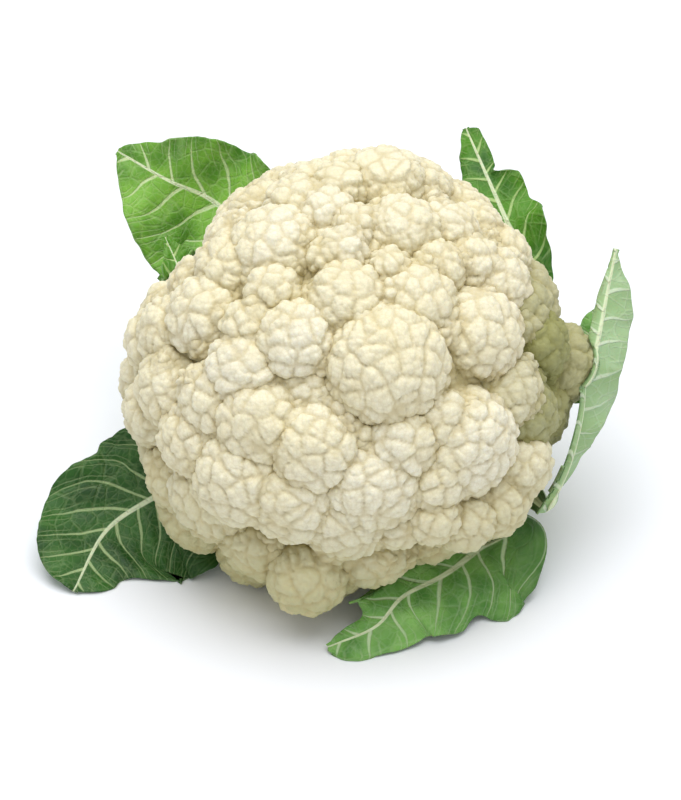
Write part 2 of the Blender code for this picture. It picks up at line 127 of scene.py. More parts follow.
class Link:
    def __init__(self, finish, socket):
        self.finish = finish
        self.socket = socket

    __add__ = maths("ADD")
    __radd__ = maths("ADD", True)
    __sub__ = maths("SUBTRACT")
    __rsub__ = maths("SUBTRACT", True)
    __mul__ = maths("MULTIPLY")
    __truediv__ = maths("DIVIDE")
    __mod__ = maths("FLOORED_MODULO")
    __pow__ = maths("POWER")
    __abs__ = maths("ABSOLUTE")

    def step(self, low, high):
        settings = {"interpolation_type": "SMOOTHSTEP"}
        return self.finish.node("MapRange", settings, {0: self, 1: low, 2: high})


class Finish:
    def __init__(self, name, **constants):
        self.material = bpy.data.materials.new(name)
        self.material.use_nodes = True
        self.tree = self.material.node_tree
        self.shader = self.tree.nodes["Principled BSDF"]
        self.wear(**constants)

    def plug(self, socket, value):
        if isinstance(value, Link):
            self.tree.links.new(value.socket, socket)
        elif isinstance(value, (tuple, list)) and len(value) == 3 and socket.type == "RGBA":
            socket.default_value = (*value, 1.0)
        else:
            socket.default_value = value

    def node(self, kind, settings=None, inputs=None, output=0):
        made = self.tree.nodes.new("ShaderNode" + kind)
        for name, value in (settings or {}).items():
            setattr(made, name, value)
        for name, value in (inputs or {}).items():
            self.plug(made.inputs[name], value)
        return Link(self, made.outputs[output])

    def mix(self, share, first, second):
        return self.node("Mix", {"data_type": "RGBA"}, {0: share, 6: first, 7: second}, 2)

    def lay(self, colour, *layers):
        for share, layer in layers:
            colour = self.mix(share, colour, layer)
        return colour

    def place(self):
        return self.node("TexCoord", output="Object")

    def attribute(self, name):
        return self.node("Attribute", {"attribute_name": name}, output="Vector")

    def parts(self, vector):
        split = self.node("SeparateXYZ", inputs={0: vector})
        return [Link(self, socket) for socket in split.socket.node.outputs]

    def noise(self, vector, size, detail=3.0):
        return self.node("TexNoise", inputs={"Vector": vector, "Scale": 1 / size, "Detail": detail})

    def cells(self, vector, size, feature="F1", randomness=1.0):
        inputs = {"Vector": vector, "Scale": 1 / size, "Randomness": randomness}
        return self.node("TexVoronoi", {"feature": feature}, inputs)

    def bump(self, height, distance, strength):
        return self.node("Bump", inputs={"Height": height, "Distance": distance, "Strength": strength})

    def wear(self, **links):
        for socket, value in links.items():
            self.plug(self.shader.inputs[socket.replace("_", " ")], value)
        return self.material


def addPiece(name, mesh, material, slot, *nodes):
    mesh.name = name
    mesh.materials.clear()
    mesh.materials.append(material)
    mesh.shade_smooth()
    piece = bpy.data.objects.new(name, mesh)
    bpy.context.scene.collection.objects.link(piece)
    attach(piece, "root")
    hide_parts(*nodes)
    mesh.calc_loop_triangles()
    print(f"{name}: {len(mesh.loop_triangles)} triangles")


def meshFrom(bm, name):
    mesh = bpy.data.meshes.new(name)
    bm.to_mesh(mesh)
    bm.free()
    return mesh


def getPlaces(mesh):
    places = np.empty((len(mesh.vertices), 3))
    mesh.vertices.foreach_get("co", places.ravel())
    return places


def setPlaces(mesh, places):
    mesh.vertices.foreach_set("co", np.ascontiguousarray(places, dtype=float).ravel())
    mesh.update()


def setAttribute(mesh, name, *columns):
    layer = mesh.attributes.new(name, "FLOAT_VECTOR", "POINT")
    layer.data.foreach_set("vector", np.column_stack(columns).astype(float).ravel())


# The curd's form, the same as the solid's: how far it reaches along each ray from its middle.
def spheroid(rays):
    depth = np.where(rays[..., 2] > 0, head["top"], head["bottom"]) * mm
    flat = (rays[..., 0] ** 2 + rays[..., 1] ** 2) / (head["radius"] * mm) ** 2
    return 1 / np.sqrt(flat + (rays[..., 2] / depth) ** 2)


def raySeen(across, up):
    toward = 0.0
    for _ in range(solveRounds):
        near = 1 - toward / (photo["distance"] * mm)
        spot = np.array((across * near, up * near, toward))
        ray = unit(headTurn.T @ viewTurn @ spot)
        left = spheroid(ray) ** 2 - spot[0] ** 2 - spot[1] ** 2
        toward = math.sqrt(max(left, 0.0))
    return ray


def pointSeen(across, up, height):
    toward = 0.0
    for _ in range(solveRounds):
        near = 1 - toward / (photo["distance"] * mm)
        rise = height - headMiddle[2] - up * near * math.cos(lookDown)
        toward = rise / math.sin(lookDown)
    return headMiddle + viewTurn @ np.array((across * near, up * near, toward))


dentRays = [raySeen(across * mm, up * mm) for across, up, _, _ in head["dents"]]


def envelope(rays):
    reach = spheroid(rays)
    for ray, (_, _, wide, deep) in zip(dentRays, head["dents"]):
        away = np.linalg.norm(rays - ray, axis=-1) * head["radius"] / wide
        reach = reach - deep * mm * np.exp(-(away**2))
    return reach


# The florets as the viewer sees them: across, up, radius and how far the top stands out.
floretsSeen = (
    (20, 5, 26, 8), (1, 35, 17, 2), (34, 34, 17, 2), (-1, 56, 11, 0), (20, 48, 9, -1), (64, 20, 20, 2),
    (46, 20, 8, -3), (-23, 16, 17, 3), (-47, 2, 17, 2), (-44, 22, 12, 0), (-66, 28, 18, 1),
    (-33, 38, 12, 0), (-34, 60, 21, 2), (-8, 73, 12, 0), (5, 66, 10, 0), (27, 66, 17, 2),
    (18, 85, 17, 5), (-22, 79, 14, 0), (-2, 83, 12, 2), (47, 65, 14, 1), (43, 49, 12, 0),
    (58, 50, 13, 1), (69, 42, 15, 2), (60, 67, 12, -1), (95, 5, 17, 10), (86, 14, 14, 3),
    (78, -8, 17, -1), (-82, 20, 16, 0), (-82, -6, 17, 0), (-62, -12, 17, 0), (-20, -9, 13, -6),
    (-3, -17, 10, -6), (-14, -34, 19, 4), (-40, -22, 19, 3), (-70, -30, 17, 2), (-48, -48, 22, 4),
    (-66, -62, 18, 6), (-24, -58, 19, 3), (-42, -80, 16, 5), (-16, -85, 17, 10), (5, -30, 10, -5),
    (13, -52, 21, 3), (27, -32, 15, 2), (44, -20, 12, 0), (58, -33, 24, 3), (41, -48, 14, 1),
    (77, -40, 15, 4), (66, -56, 15, 5), (38, -62, 12, 3), (52, -63, 13, 5), (24, -68, 10, -1),
)
otherFlorets = {
    "restPlace": (-6, -38),  # where the head rests, from under its middle
    "restRadius": 23,
    "restPast": 0.6,
    "tries": 110,
    "radius": 17,
    "spread": (0.75, 1.2),
    "lowest": -0.62,
    "spacing": 0.95,
    "seed": 11,
}
goldenAngle = math.pi * (3 - math.sqrt(5))


def evenRays(count, lowest=-1.0):
    z = 1 - (1 - lowest) * (np.arange(count) + 0.5) / count
    ring = np.sqrt(1 - z * z)
    turn = np.arange(count) * goldenAngle
    return np.column_stack((ring * np.cos(turn), ring * np.sin(turn), z))


@functools.cache
def florets():
    found = []
    for across, up, radius, lift in floretsSeen:
        ray = raySeen(across * mm, up * mm)
        found.append((ray, float(envelope(ray)) + lift * mm, radius * mm))
    rest = np.array((*otherFlorets["restPlace"], -head["middle"][2])) * mm
    top = np.linalg.norm(rest) + otherFlorets["restPast"] * mm
    found.append((unit(headTurn.T @ rest), top, otherFlorets["restRadius"] * mm))
    draw = random.Random(otherFlorets["seed"])
    for ray in evenRays(otherFlorets["tries"], otherFlorets["lowest"]):
        radius = otherFlorets["radius"] * mm * draw.uniform(*otherFlorets["spread"])
        top = float(envelope(ray))
        spaces = [np.linalg.norm(ray * top - other * far) for other, far, _ in found]
        sizes = [max(radius, size) for _, _, size in found]
        if all(space > otherFlorets["spacing"] * size for space, size in zip(spaces, sizes)):
            found.append((ray, top, radius))
    return found


# A dome of the solid: round as far as this share of its radius, and falling straight past it.
domes = {"reach": 0.86, "slope": 1.7}


def curdReach(rays):
    reach = envelope(rays) * head["core"]
    for ray, top, radius in florets():
        out = np.linalg.norm(rays - ray, axis=-1) * top / radius
        roundPart = 1 - np.sqrt(1 - np.minimum(out, domes["reach"]) ** 2)
        fall = roundPart + domes["slope"] * np.maximum(out - domes["reach"], 0)
        reach = np.maximum(reach, top - radius * fall)
    return reach


# Small florets squeezed into the gaps, down between the others.
fillers = {
    "tries": 1500,
    "radius": (6.5, 10),
    "gap": 2.4,  # how far under the envelope a gap starts
    "lift": 1.5,  # how far a filler stands out of its gap
    "spacing": 0.62,
    "lowest": -0.55,
    "seed": 4,
}


@functools.cache
def fillerFlorets():
    draw = random.Random(fillers["seed"])
    rays = evenRays(fillers["tries"], fillers["lowest"])
    reaches = curdReach(rays)
    gaps = envelope(rays) - reaches
    found = []
    for ray, reach, gap in sorted(zip(rays, reaches, gaps), key=lambda row: -row[2]):
        radius = draw.uniform(*fillers["radius"]) * mm
        top = reach + fillers["lift"] * mm
        if gap < fillers["gap"] * mm:
            break
        far = [np.linalg.norm(ray * top - other * length) for other, length, _ in found]
        if all(space > fillers["spacing"] * 2 * radius for space in far):
            found.append((ray, top, radius))
    return found


# A floret: a dome cut by creases into buds, lobes and granules. Its finish adds the finest ones.
floret = {
    "edge": 0.84,  # the length of a face's side where the viewer looks
    "edgeBehind": 1.3,
    "behind": -0.12,  # how far it faces the viewer where the faces get longer
    "leastCuts": 8,
    "flatTop": 2.35,  # over 2 makes it flatter on top and steeper at its sides
    "narrow": 0.04,
    "levels": (  # how far apart, how deep, and how wide the dark line between two is
        {"apart": 9.4, "deep": 1.9, "line": 0.6, "stagger": 0.6},
        {"apart": 4.5, "deep": 0.85, "line": 0.45, "stagger": 0.15},
        {"apart": 2.5, "deep": 0.4, "line": 0.5, "stagger": 0.0},
    ),
    "granuleLine": 0.5,  # the granules' lines beside the lobes'
    "swell": 1.7,  # how much larger than its dome a floret is, for what its creases take away
    "budShare": 0.72,  # the buds' distance in a small floret, as a share of its radius
    "jitter": 0.24,
    "warp": 0.035,
    "warpWaves": 9,
    "sunk": 3.1,  # how deep the creases go in all
    "buried": 2.0,  # how deep in its neighbours a face may be before it is left out
    # painted shade where florets meet reaches this far from a neighbour
    "creaseShade": 3.0,  # how near a neighbour the curd gets darker
    # painted shade in the hollows, darkest this far under the envelope
    "hollowShadeDepth": 18,  # how far under the envelope the curd is darkest
    "underTop": 3.0,  # how far under the solid's top the florets start to flatten
    "seed": 23,
}
cell = {
    "area": 0.866,  # of a six-sided cell, over its distance squared
    "fewest": 8,
    "margin": 0.2,  # how far past the floret's lowest ray a cell's middle may lie
    "flank": 0.40,  # how far a crease's side reaches into its cell, over the cells' distance
    "flankPower": 2.4,  # a higher one makes the crease sharper
    "staggerFrom": 0.5,
}
# The florets at the viewer's right, in the leaf's shadow, take the dark olive: partly their own green,
# partly painted shadow of the leaf.
greenAndShadowSide = {"across": (0.82, 0.94), "toward": (-0.2, 0.1)}


@functools.cache
def ballTemplate(cuts):
    bm = bmesh.new()
    bmesh.ops.create_cube(bm, size=2.0)
    bmesh.ops.subdivide_edges(bm, edges=bm.edges[:], cuts=cuts, use_grid_fill=True)
    for vertex in bm.verts:
        spread = Vector([math.tan(value * math.pi / 4) for value in vertex.co])
        vertex.co = spread.normalized()
    return meshFrom(bm, "ball")


def turnTo(ray, spin):
    turned = Vector((0, 0, 1)).rotation_difference(Vector(ray)).to_matrix()
    return np.array(turned @ Matrix.Rotation(spin, 3, "Z"))


def profile(rays):
    level = np.linalg.norm(rays[..., :2], axis=-1)
    power = np.where(rays[..., 2] > 0, floret["flatTop"], 2.0)
    length = (np.abs(rays[..., 2]) ** power + level**power) ** (-1 / power)
    return length * (1 - floret["narrow"] * level**2)


def growCells(rays, radius, level, draw):
    apart = min(level["apart"], radius / mm * floret["budShare"]) * mm
    count = max(int(4 * math.pi * radius**2 / (cell["area"] * apart**2)), cell["fewest"])
    seeds = unit(evenRays(count) + draw.normal(0, floret["jitter"] * apart / radius, (count, 3)))
    seeds = seeds[seeds[:, 2] > rays[:, 2].min() - cell["margin"]]
    closeness = rays @ seeds.T
    everyRay = np.arange(len(rays))
    first = closeness.argmax(axis=1)
    nearest = np.sqrt(np.maximum(2 - 2 * closeness[everyRay, first], 0)) * radius
    closeness[everyRay, first] = -2
    second = np.sqrt(np.maximum(2 - 2 * closeness.max(axis=1), 0)) * radius
    border = (second - nearest) / 2
    share = np.clip(border / (cell["flank"] * apart), 0, 1)
    stagger = draw.uniform(-level["stagger"], 0, len(seeds))[first]
    rise = -level["deep"] * (1 - share) ** cell["flankPower"]
    rise = rise + stagger * smoothStep(share, 0, cell["staggerFrom"])
    line = np.exp(-((border / (level["line"] * mm)) ** 2))
    return rise * mm, line


def growFloret(ray, top, radius, others, edge, seed, chance, olive):
    draw = np.random.default_rng(seed)
    middle = ray * (top - radius)
    cuts = max(int(math.pi * radius / (2 * edge * mm)) - 1, floret["leastCuts"])
    turn = turnTo(ray, draw.uniform(0, 6.28))
    bm = bmesh.new()
    bm.from_mesh(ballTemplate(cuts))
    # what lies deep in the neighbours or the stems is left out
    places = middle + np.array([vertex.co for vertex in bm.verts]) @ turn.T * radius
    far = np.linalg.norm(places, axis=1)
    hidden = far < envelope(places / far[:, None]) * head["core"] - floret["buried"] * mm
    hidden |= places[:, 2] < -head["seat"] * mm - floret["buried"] * mm
    neighbours = []
    for otherRay, otherTop, otherRadius in others:
        centre = otherRay * (otherTop - otherRadius)
        if np.linalg.norm(centre - middle) < radius + otherRadius + floret["creaseShade"] * mm:
            neighbours.append((centre, otherRadius))
            inside = np.linalg.norm(places - centre, axis=1)
            hidden |= inside < otherRadius - (floret["sunk"] + floret["buried"]) * mm
    buried = [face for face in bm.faces if all(hidden[vertex.index] for vertex in face.verts)]
    if len(buried) == len(bm.faces):
        bm.free()
        return None
    bmesh.ops.delete(bm, geom=buried, context="FACES")
    rims = [edge for edge in bm.edges if edge.is_boundary]
    if rims:
        bmesh.ops.holes_fill(bm, edges=rims, sides=0)
    bmesh.ops.recalc_face_normals(bm, faces=bm.faces[:])
    mesh = meshFrom(bm, "floret")
    rays = getPlaces(mesh)
    turns = draw.uniform(0, 6.28, 3)
    warped = unit(rays + floret["warp"] * np.sin(rays[:, (1, 2, 0)] * floret["warpWaves"] + turns))
    reach = radius * profile(rays) + floret["swell"] * mm
    lines = []
    for level in floret["levels"]:
        rise, line = growCells(warped, radius, level, draw)
        reach = reach + rise
        lines.append(line)
    places = rays * reach[:, None]
    grown = middle + places @ turn.T
    deep = envelope(unit(grown)) - np.linalg.norm(grown, axis=1)
    space = np.ones(len(grown))
    for centre, otherRadius in neighbours:
        space = np.minimum(space, np.linalg.norm(grown - centre, axis=1) - otherRadius)
    # painted shade where a floret nears its neighbours
    creaseShade = 1 - smoothStep(space / mm, 0, floret["creaseShade"])
    grown[:, 2] = np.maximum(grown[:, 2], -head["seat"] * mm)
    world = toWorld(grown)
    flattened = floret["underTop"] * mm
    over = np.maximum(world[:, 2] - cadBox[1][2] + flattened, 0)
    world[:, 2] += flattened * (1 - np.exp(-over / flattened)) - over
    world = np.clip(world, cadBox[0], cadBox[1])
    setPlaces(mesh, world)
    lobeLine = np.maximum(lines[1], lines[2] * floret["granuleLine"])
    # relief's third value, the depth under the envelope, drives painted shade in the hollows
    setAttribute(mesh, "relief", lobeLine, lines[0], deep / (floret["hollowShadeDepth"] * mm))
    setAttribute(mesh, "tint", np.full(len(world), chance), np.full(len(world), olive), creaseShade)
    return mesh


# The pieces that the florets are gathered in, by the way they lie from the head's middle as seen:
# across, up and towards the viewer.
floretGroups = {
    "florets_crown": (10, 70, 45),
    "florets_left": (-65, 10, 45),
    "florets_middle": (15, 5, 99),
    "florets_right": (75, 5, 45),
    "florets_lower_left": (-45, -55, 45),
    "florets_lower_right": (40, -50, 45),
    "florets_back": (0, 60, -54),
    "florets_under": (0, -60, -45),
}


def groupOf(ray):
    seen = viewTurn.T @ (headTurn @ ray)
    closeness = {name: float(unit(seen) @ unit(np.array(way))) for name, way in floretGroups.items()}
    return max(closeness, key=closeness.get)


def buildFlorets(material):
    big = florets()
    small = fillerFlorets()
    everyone = big + small
    groups = {name: bmesh.new() for name in floretGroups}
    draw = random.Random(floret["seed"])
    for number, (ray, top, radius) in enumerate(everyone):
        seen = viewTurn.T @ (headTurn @ ray)
        edge = floret["edge"] if seen[2] > floret["behind"] else floret["edgeBehind"]
        # olive: painted shadow of the leaf on the right as seen, with the florets' own green
        olive = smoothStep(seen[0], *greenAndShadowSide["across"]) * smoothStep(seen[2], *greenAndShadowSide["toward"])
        others = [other for place, other in enumerate(everyone) if place != number]
        seed = floret["seed"] + number
        mesh = growFloret(ray, top, radius, others, edge, seed, draw.random(), float(olive))
        if mesh:
            groups[groupOf(ray)].from_mesh(mesh)
            bpy.data.meshes.remove(mesh)
    for name, bm in groups.items():
        addPiece(name, meshFrom(bm, name), material, "curd", "curd")
    print(f"florets: {len(big)} large and {len(small)} small")


# The stems under the florets, which run together into the stalk's branches.
stems = {
    "cuts": 46,
    "branches": 9,
    "hollow": 9.0,
    "hollowPower": 0.7,
    "forks": 2.5,
    "beneath": (0.05, 0.35),  # the grooves start this far down
    "rim": (0.72, 0.86),  # and this far out
    # painted shade: the stems darken upwards, between the florets
    "front": (-0.5, 0.1),  # how far up the stems get dark between the florets
    "olive": 0.3,
}


def buildStems(material):
    bm = bmesh.new()
    bm.from_mesh(ballTemplate(stems["cuts"]))
    mesh = meshFrom(bm, "stems")
    rays = getPlaces(mesh)
    reach = envelope(rays) * head["core"]
    down = np.maximum(-rays[:, 2], tiny)
    reach = np.minimum(reach, head["seat"] * mm / down)
    sinking = np.maximum(-(rays @ headTurn.T)[:, 2], tiny)
    reach = np.minimum(reach, headMiddle[2] / sinking)
    turn = np.arctan2(rays[:, 1], rays[:, 0])
    level = np.linalg.norm(rays[:, :2], axis=1)
    beneath = smoothStep(-rays[:, 2], *stems["beneath"]) * smoothStep(level, *stems["rim"])
    groove = 1 - np.abs(np.cos(turn * stems["branches"] / 2)) ** stems["hollowPower"]
    fork = 1 - np.abs(np.cos(turn * stems["branches"]))
    cut = (groove * stems["hollow"] + fork * stems["forks"]) * mm
    setPlaces(mesh, toWorld(rays * (reach - cut * beneath)[:, None]))
    blank = np.zeros(len(rays))
    front = smoothStep(rays[:, 2], *stems["front"])
    # painted shade: higher up, the stems take the curd's hollow and crease shade
    setAttribute(mesh, "relief", blank, blank, front)
    setAttribute(mesh, "tint", blank + 0.5, stems["olive"] * (1 - front), front)
    addPiece("floret_stems", mesh, material, "curd", "curd")


# The curd's colours, each with how much of it is laid on where it is not the ground colour.
curdColours = {
    "cream": (0.84, 0.80, 0.60),
    "light": (0.88, 0.855, 0.70),
    "warm": (0.6, (0.83, 0.775, 0.54)),  # by floret
    # painted shade: the curd darkens towards the table, with some of its own yellower tone low down
    "low": (0.95, (0.46, 0.45, 0.22)),  # towards the table
    "spots": (0.4, (0.80, 0.69, 0.40)),
    "granules": (0.24, (0.64, 0.55, 0.33)),
    "lobes": (0.26, (0.58, 0.48, 0.25)),
    "buds": (0.46, (0.50, 0.40, 0.18)),
    # painted shade where florets meet, partly the creases' own tan
    "tanAndShadedCreases": (0.40, (0.50, 0.40, 0.18)),
    # painted shade in the hollows under the envelope
    "deep": (0.6, (0.42, 0.36, 0.15)),
    # partly the florets' own green, partly painted shadow of the leaf
    "olive": (0.85, (0.22, 0.23, 0.05)),
}
curdGrain = {  # the finest granules, in metres, and the grain on them
    "granule": 0.0017,
    "scatter": 0.85,
    "edge": 0.13,  # how far a granule's dark line reaches in
    "dome": 1.6,
    "grain": 0.0005,
    "grainHeight": 0.12,
    "height": 0.0003,
    "strength": 0.55,
}
# painted shade towards the table, with some of the curd's own yellower tone
lowShadeAndTintHeights = (0.085, 0.010)  # the heights between which the curd gets darker, in metres


def curdFinish():
    finish = Finish(
        "curdFinish",
        Roughness=0.62,
        Subsurface_Weight=0.12,
        Subsurface_Radius=(1.0, 0.8, 0.4),
        Subsurface_Scale=0.002,
        Specular_IOR_Level=0.25,
    )
    place = finish.place()
    height = finish.parts(place)[2]
    # deep is the depth under the envelope, read for painted shade in the hollows
    lobeLine, budLine, deep = finish.parts(finish.attribute("relief"))
    chance, olive, creaseShade = finish.parts(finish.attribute("tint"))
    granule = finish.cells(place, curdGrain["granule"], "DISTANCE_TO_EDGE", curdGrain["scatter"])
    fromMiddle = finish.cells(place, curdGrain["granule"], "F1", curdGrain["scatter"])
    patches = finish.noise(place, 0.03, 2.0).step(0.35, 0.65)
    layers = {
        "warm": chance,
        # painted shade low down, partly the curd's own yellower tone
        "low": height.step(*lowShadeAndTintHeights),
        "spots": finish.noise(place, 0.011, 2.0).step(0.58, 0.8),
        "granules": 1 - granule.step(0.0, curdGrain["edge"]),
        "lobes": lobeLine,
        "buds": budLine,
        # painted shade near neighbouring florets, partly the creases' own tan
        "tanAndShadedCreases": creaseShade,
        # painted shade in the hollows
        "deep": deep.step(0.2, 1.0),
        # painted shadow of the leaf on the right, partly the florets' own green
        "olive": olive,
    }
    colour = finish.mix(patches, curdColours["cream"], curdColours["light"])
    for name, where in layers.items():
        share, layer = curdColours[name]
        colour = finish.mix(where * share, colour, layer)
    grain = finish.noise(place, curdGrain["grain"], 2.0)
    surface = 1 - fromMiddle**2 * curdGrain["dome"] + grain * curdGrain["grainHeight"]
    normal = finish.bump(surface, curdGrain["height"], curdGrain["strength"])
    rough = 0.58 + grain * 0.14
    return finish.wear(Base_Color=colour, Roughness=rough, Normal=normal)


# The stalk, with its cut end.
stalkShape = {
    "radius": 23.5,
    "end": 76.5,
    "edge": 1.5,
    "flareRadius": 47,
    "flareFoot": 56,
    "branches": 9,
    "flarePower": 1.6,
    "branchDepth": 4.0,
    "branchRun": 16,  # how far up from the flare's foot the ribs grow to their full depth
    "uneven": 0.35,
    "unevenTurns": 13,
    "unevenClimb": 300,
    "under": 0.35,  # the gap between its top and the florets' stems
    "cap": (1.0, 0.96, 0.85, 0.7, 0.5, 0.3, 0.12),  # the rows of vertices on its cut end
    "sides": 180,
    "rings": 34,
}
stalkColours = {
    "green": (0.56, 0.62, 0.30),
    "pale": (0.80, 0.80, 0.58),
    "flare": (0.83, 0.80, 0.58),
    "cut": (0.84, 0.79, 0.60),
    "rings": (0.72, 0.65, 0.42),
    "rind": (0.52, 0.58, 0.28),
}
stalkMarks = {"rings": 46, "ringWander": 5, "flare": (0.056, 0.041), "rind": (0.80, 0.92)}


def stalkRadius(depth):
    foot = stalkShape["flareFoot"] * mm
    share = np.clip((foot - depth) / (foot - head["seat"] * mm), 0, 1)
    flare = (stalkShape["flareRadius"] - stalkShape["radius"]) * share ** stalkShape["flarePower"]
    return (stalkShape["radius"] + flare) * mm


def buildStalk(material):
    top = (head["seat"] + stalkShape["under"]) * mm
    end = stalkShape["end"] * mm
    edge = stalkShape["edge"] * mm
    depths = list(np.linspace(top, end - edge, stalkShape["rings"]))
    bm = bmesh.new()
    layer = bm.verts.layers.float_vector.new("stem")
    circle = bmesh.ops.create_circle(bm, cap_ends=True, segments=stalkShape["sides"], radius=1.0)
    rows = [circle["verts"]]
    face = next(iter(bm.faces))
    for _ in range(len(depths) - 1 + len(stalkShape["cap"])):
        made = bmesh.ops.extrude_face_region(bm, geom=[face], use_keep_orig=True)
        if len(rows) > 1:
            bmesh.ops.delete(bm, geom=[face], context="FACES_ONLY")
        face = next(part for part in made["geom"] if isinstance(part, bmesh.types.BMFace))
        rows.append([part for part in made["geom"] if isinstance(part, bmesh.types.BMVert)])
    shape = [(depth, 1.0) for depth in depths] + [(end, share) for share in stalkShape["cap"]]
    for row, (depth, share) in zip(rows, shape):
        ribbed = np.clip((stalkShape["flareFoot"] * mm - depth) / (stalkShape["branchRun"] * mm), 0, 1)
        for vertex in row:
            angle = math.atan2(vertex.co.y, vertex.co.x)
            groove = 1 - abs(math.cos(angle * stalkShape["branches"] / 2))
            radius = float(stalkRadius(depth)) - stalkShape["branchDepth"] * mm * ribbed * groove
            climb = angle * stalkShape["unevenTurns"] + depth * stalkShape["unevenClimb"]
            uneven = stalkShape["uneven"] + stalkShape["uneven"] * math.sin(climb)
            radius -= uneven * mm * (1 - ribbed)
            if depth == end:
                radius = (radius - edge) * share
            place = np.array((radius * math.cos(angle), radius * math.sin(angle), -depth))
            vertex.co = toWorld(place)
            cut = 1.0 if depth == end else 0.0
            vertex[layer] = (radius / (stalkShape["radius"] * mm), depth, cut)
    bmesh.ops.recalc_face_normals(bm, faces=bm.faces[:])
    addPiece("stalk_stem", meshFrom(bm, "stalk"), material, "stalk", "stalk")


def stalkFinish():
    finish = Finish("stalkFinish", Roughness=0.5, Subsurface_Weight=0.1, Subsurface_Scale=0.003)
    place = finish.place()
    around, depth, cut = finish.parts(finish.attribute("stem"))
    mottle = finish.noise(place, 0.012, 3.0).step(0.35, 0.7)
    colour = finish.mix(mottle, stalkColours["green"], stalkColours["pale"])
    flare = depth.step(*stalkMarks["flare"])
    colour = finish.mix(flare * 0.7, colour, stalkColours["flare"])
    rings = (around * stalkMarks["rings"] + finish.noise(place, 0.004) * stalkMarks["ringWander"]) % 1
    face = finish.mix(rings.step(0.2, 0.8) * 0.25, stalkColours["cut"], stalkColours["rings"])
    rind = around.step(*stalkMarks["rind"])
    face = finish.mix(rind, face, stalkColours["rind"])
    colour = finish.mix(cut, colour, face)
    grain = finish.noise(place, 0.0014, 4.0)
    normal = finish.bump(grain, 0.0006, 0.4)
    return finish.wear(Base_Color=colour, Roughness=0.42 + grain * 0.2, Normal=normal)


# The leaves. Root: degrees round the stalk and millimetres down it. Rib: across, up and height over
# the table, as seen. Faces: the way the upper side looks where the blade starts and at its tip.
# Blade: its length. Left and right: the outline beside the rib, as shares along the blade and
# widths. Bend: the degrees that each side curls up. Wave: height, count and where it starts. Stem:
# half width and depth at the root. Steps: rows of faces on the blade. Veins: how many to a side.
# Greens: blade, lit blade, veins, underside.
brightGreen = ((0.050, 0.18, 0.014), (0.21, 0.46, 0.055), (0.60, 0.72, 0.40), (0.34, 0.50, 0.22))
freshGreen = ((0.026, 0.115, 0.008), (0.085, 0.26, 0.014), (0.44, 0.60, 0.24), (0.40, 0.54, 0.30))
deepGreen = ((0.014, 0.06, 0.010), (0.035, 0.13, 0.018), (0.38, 0.50, 0.24), (0.20, 0.32, 0.15))
midGreen = ((0.065, 0.21, 0.032), (0.23, 0.48, 0.11), (0.50, 0.64, 0.38), (0.22, 0.34, 0.16))
paleGreen = ((0.05, 0.16, 0.02), (0.30, 0.46, 0.20), (0.64, 0.74, 0.55), (0.38, 0.54, 0.30))
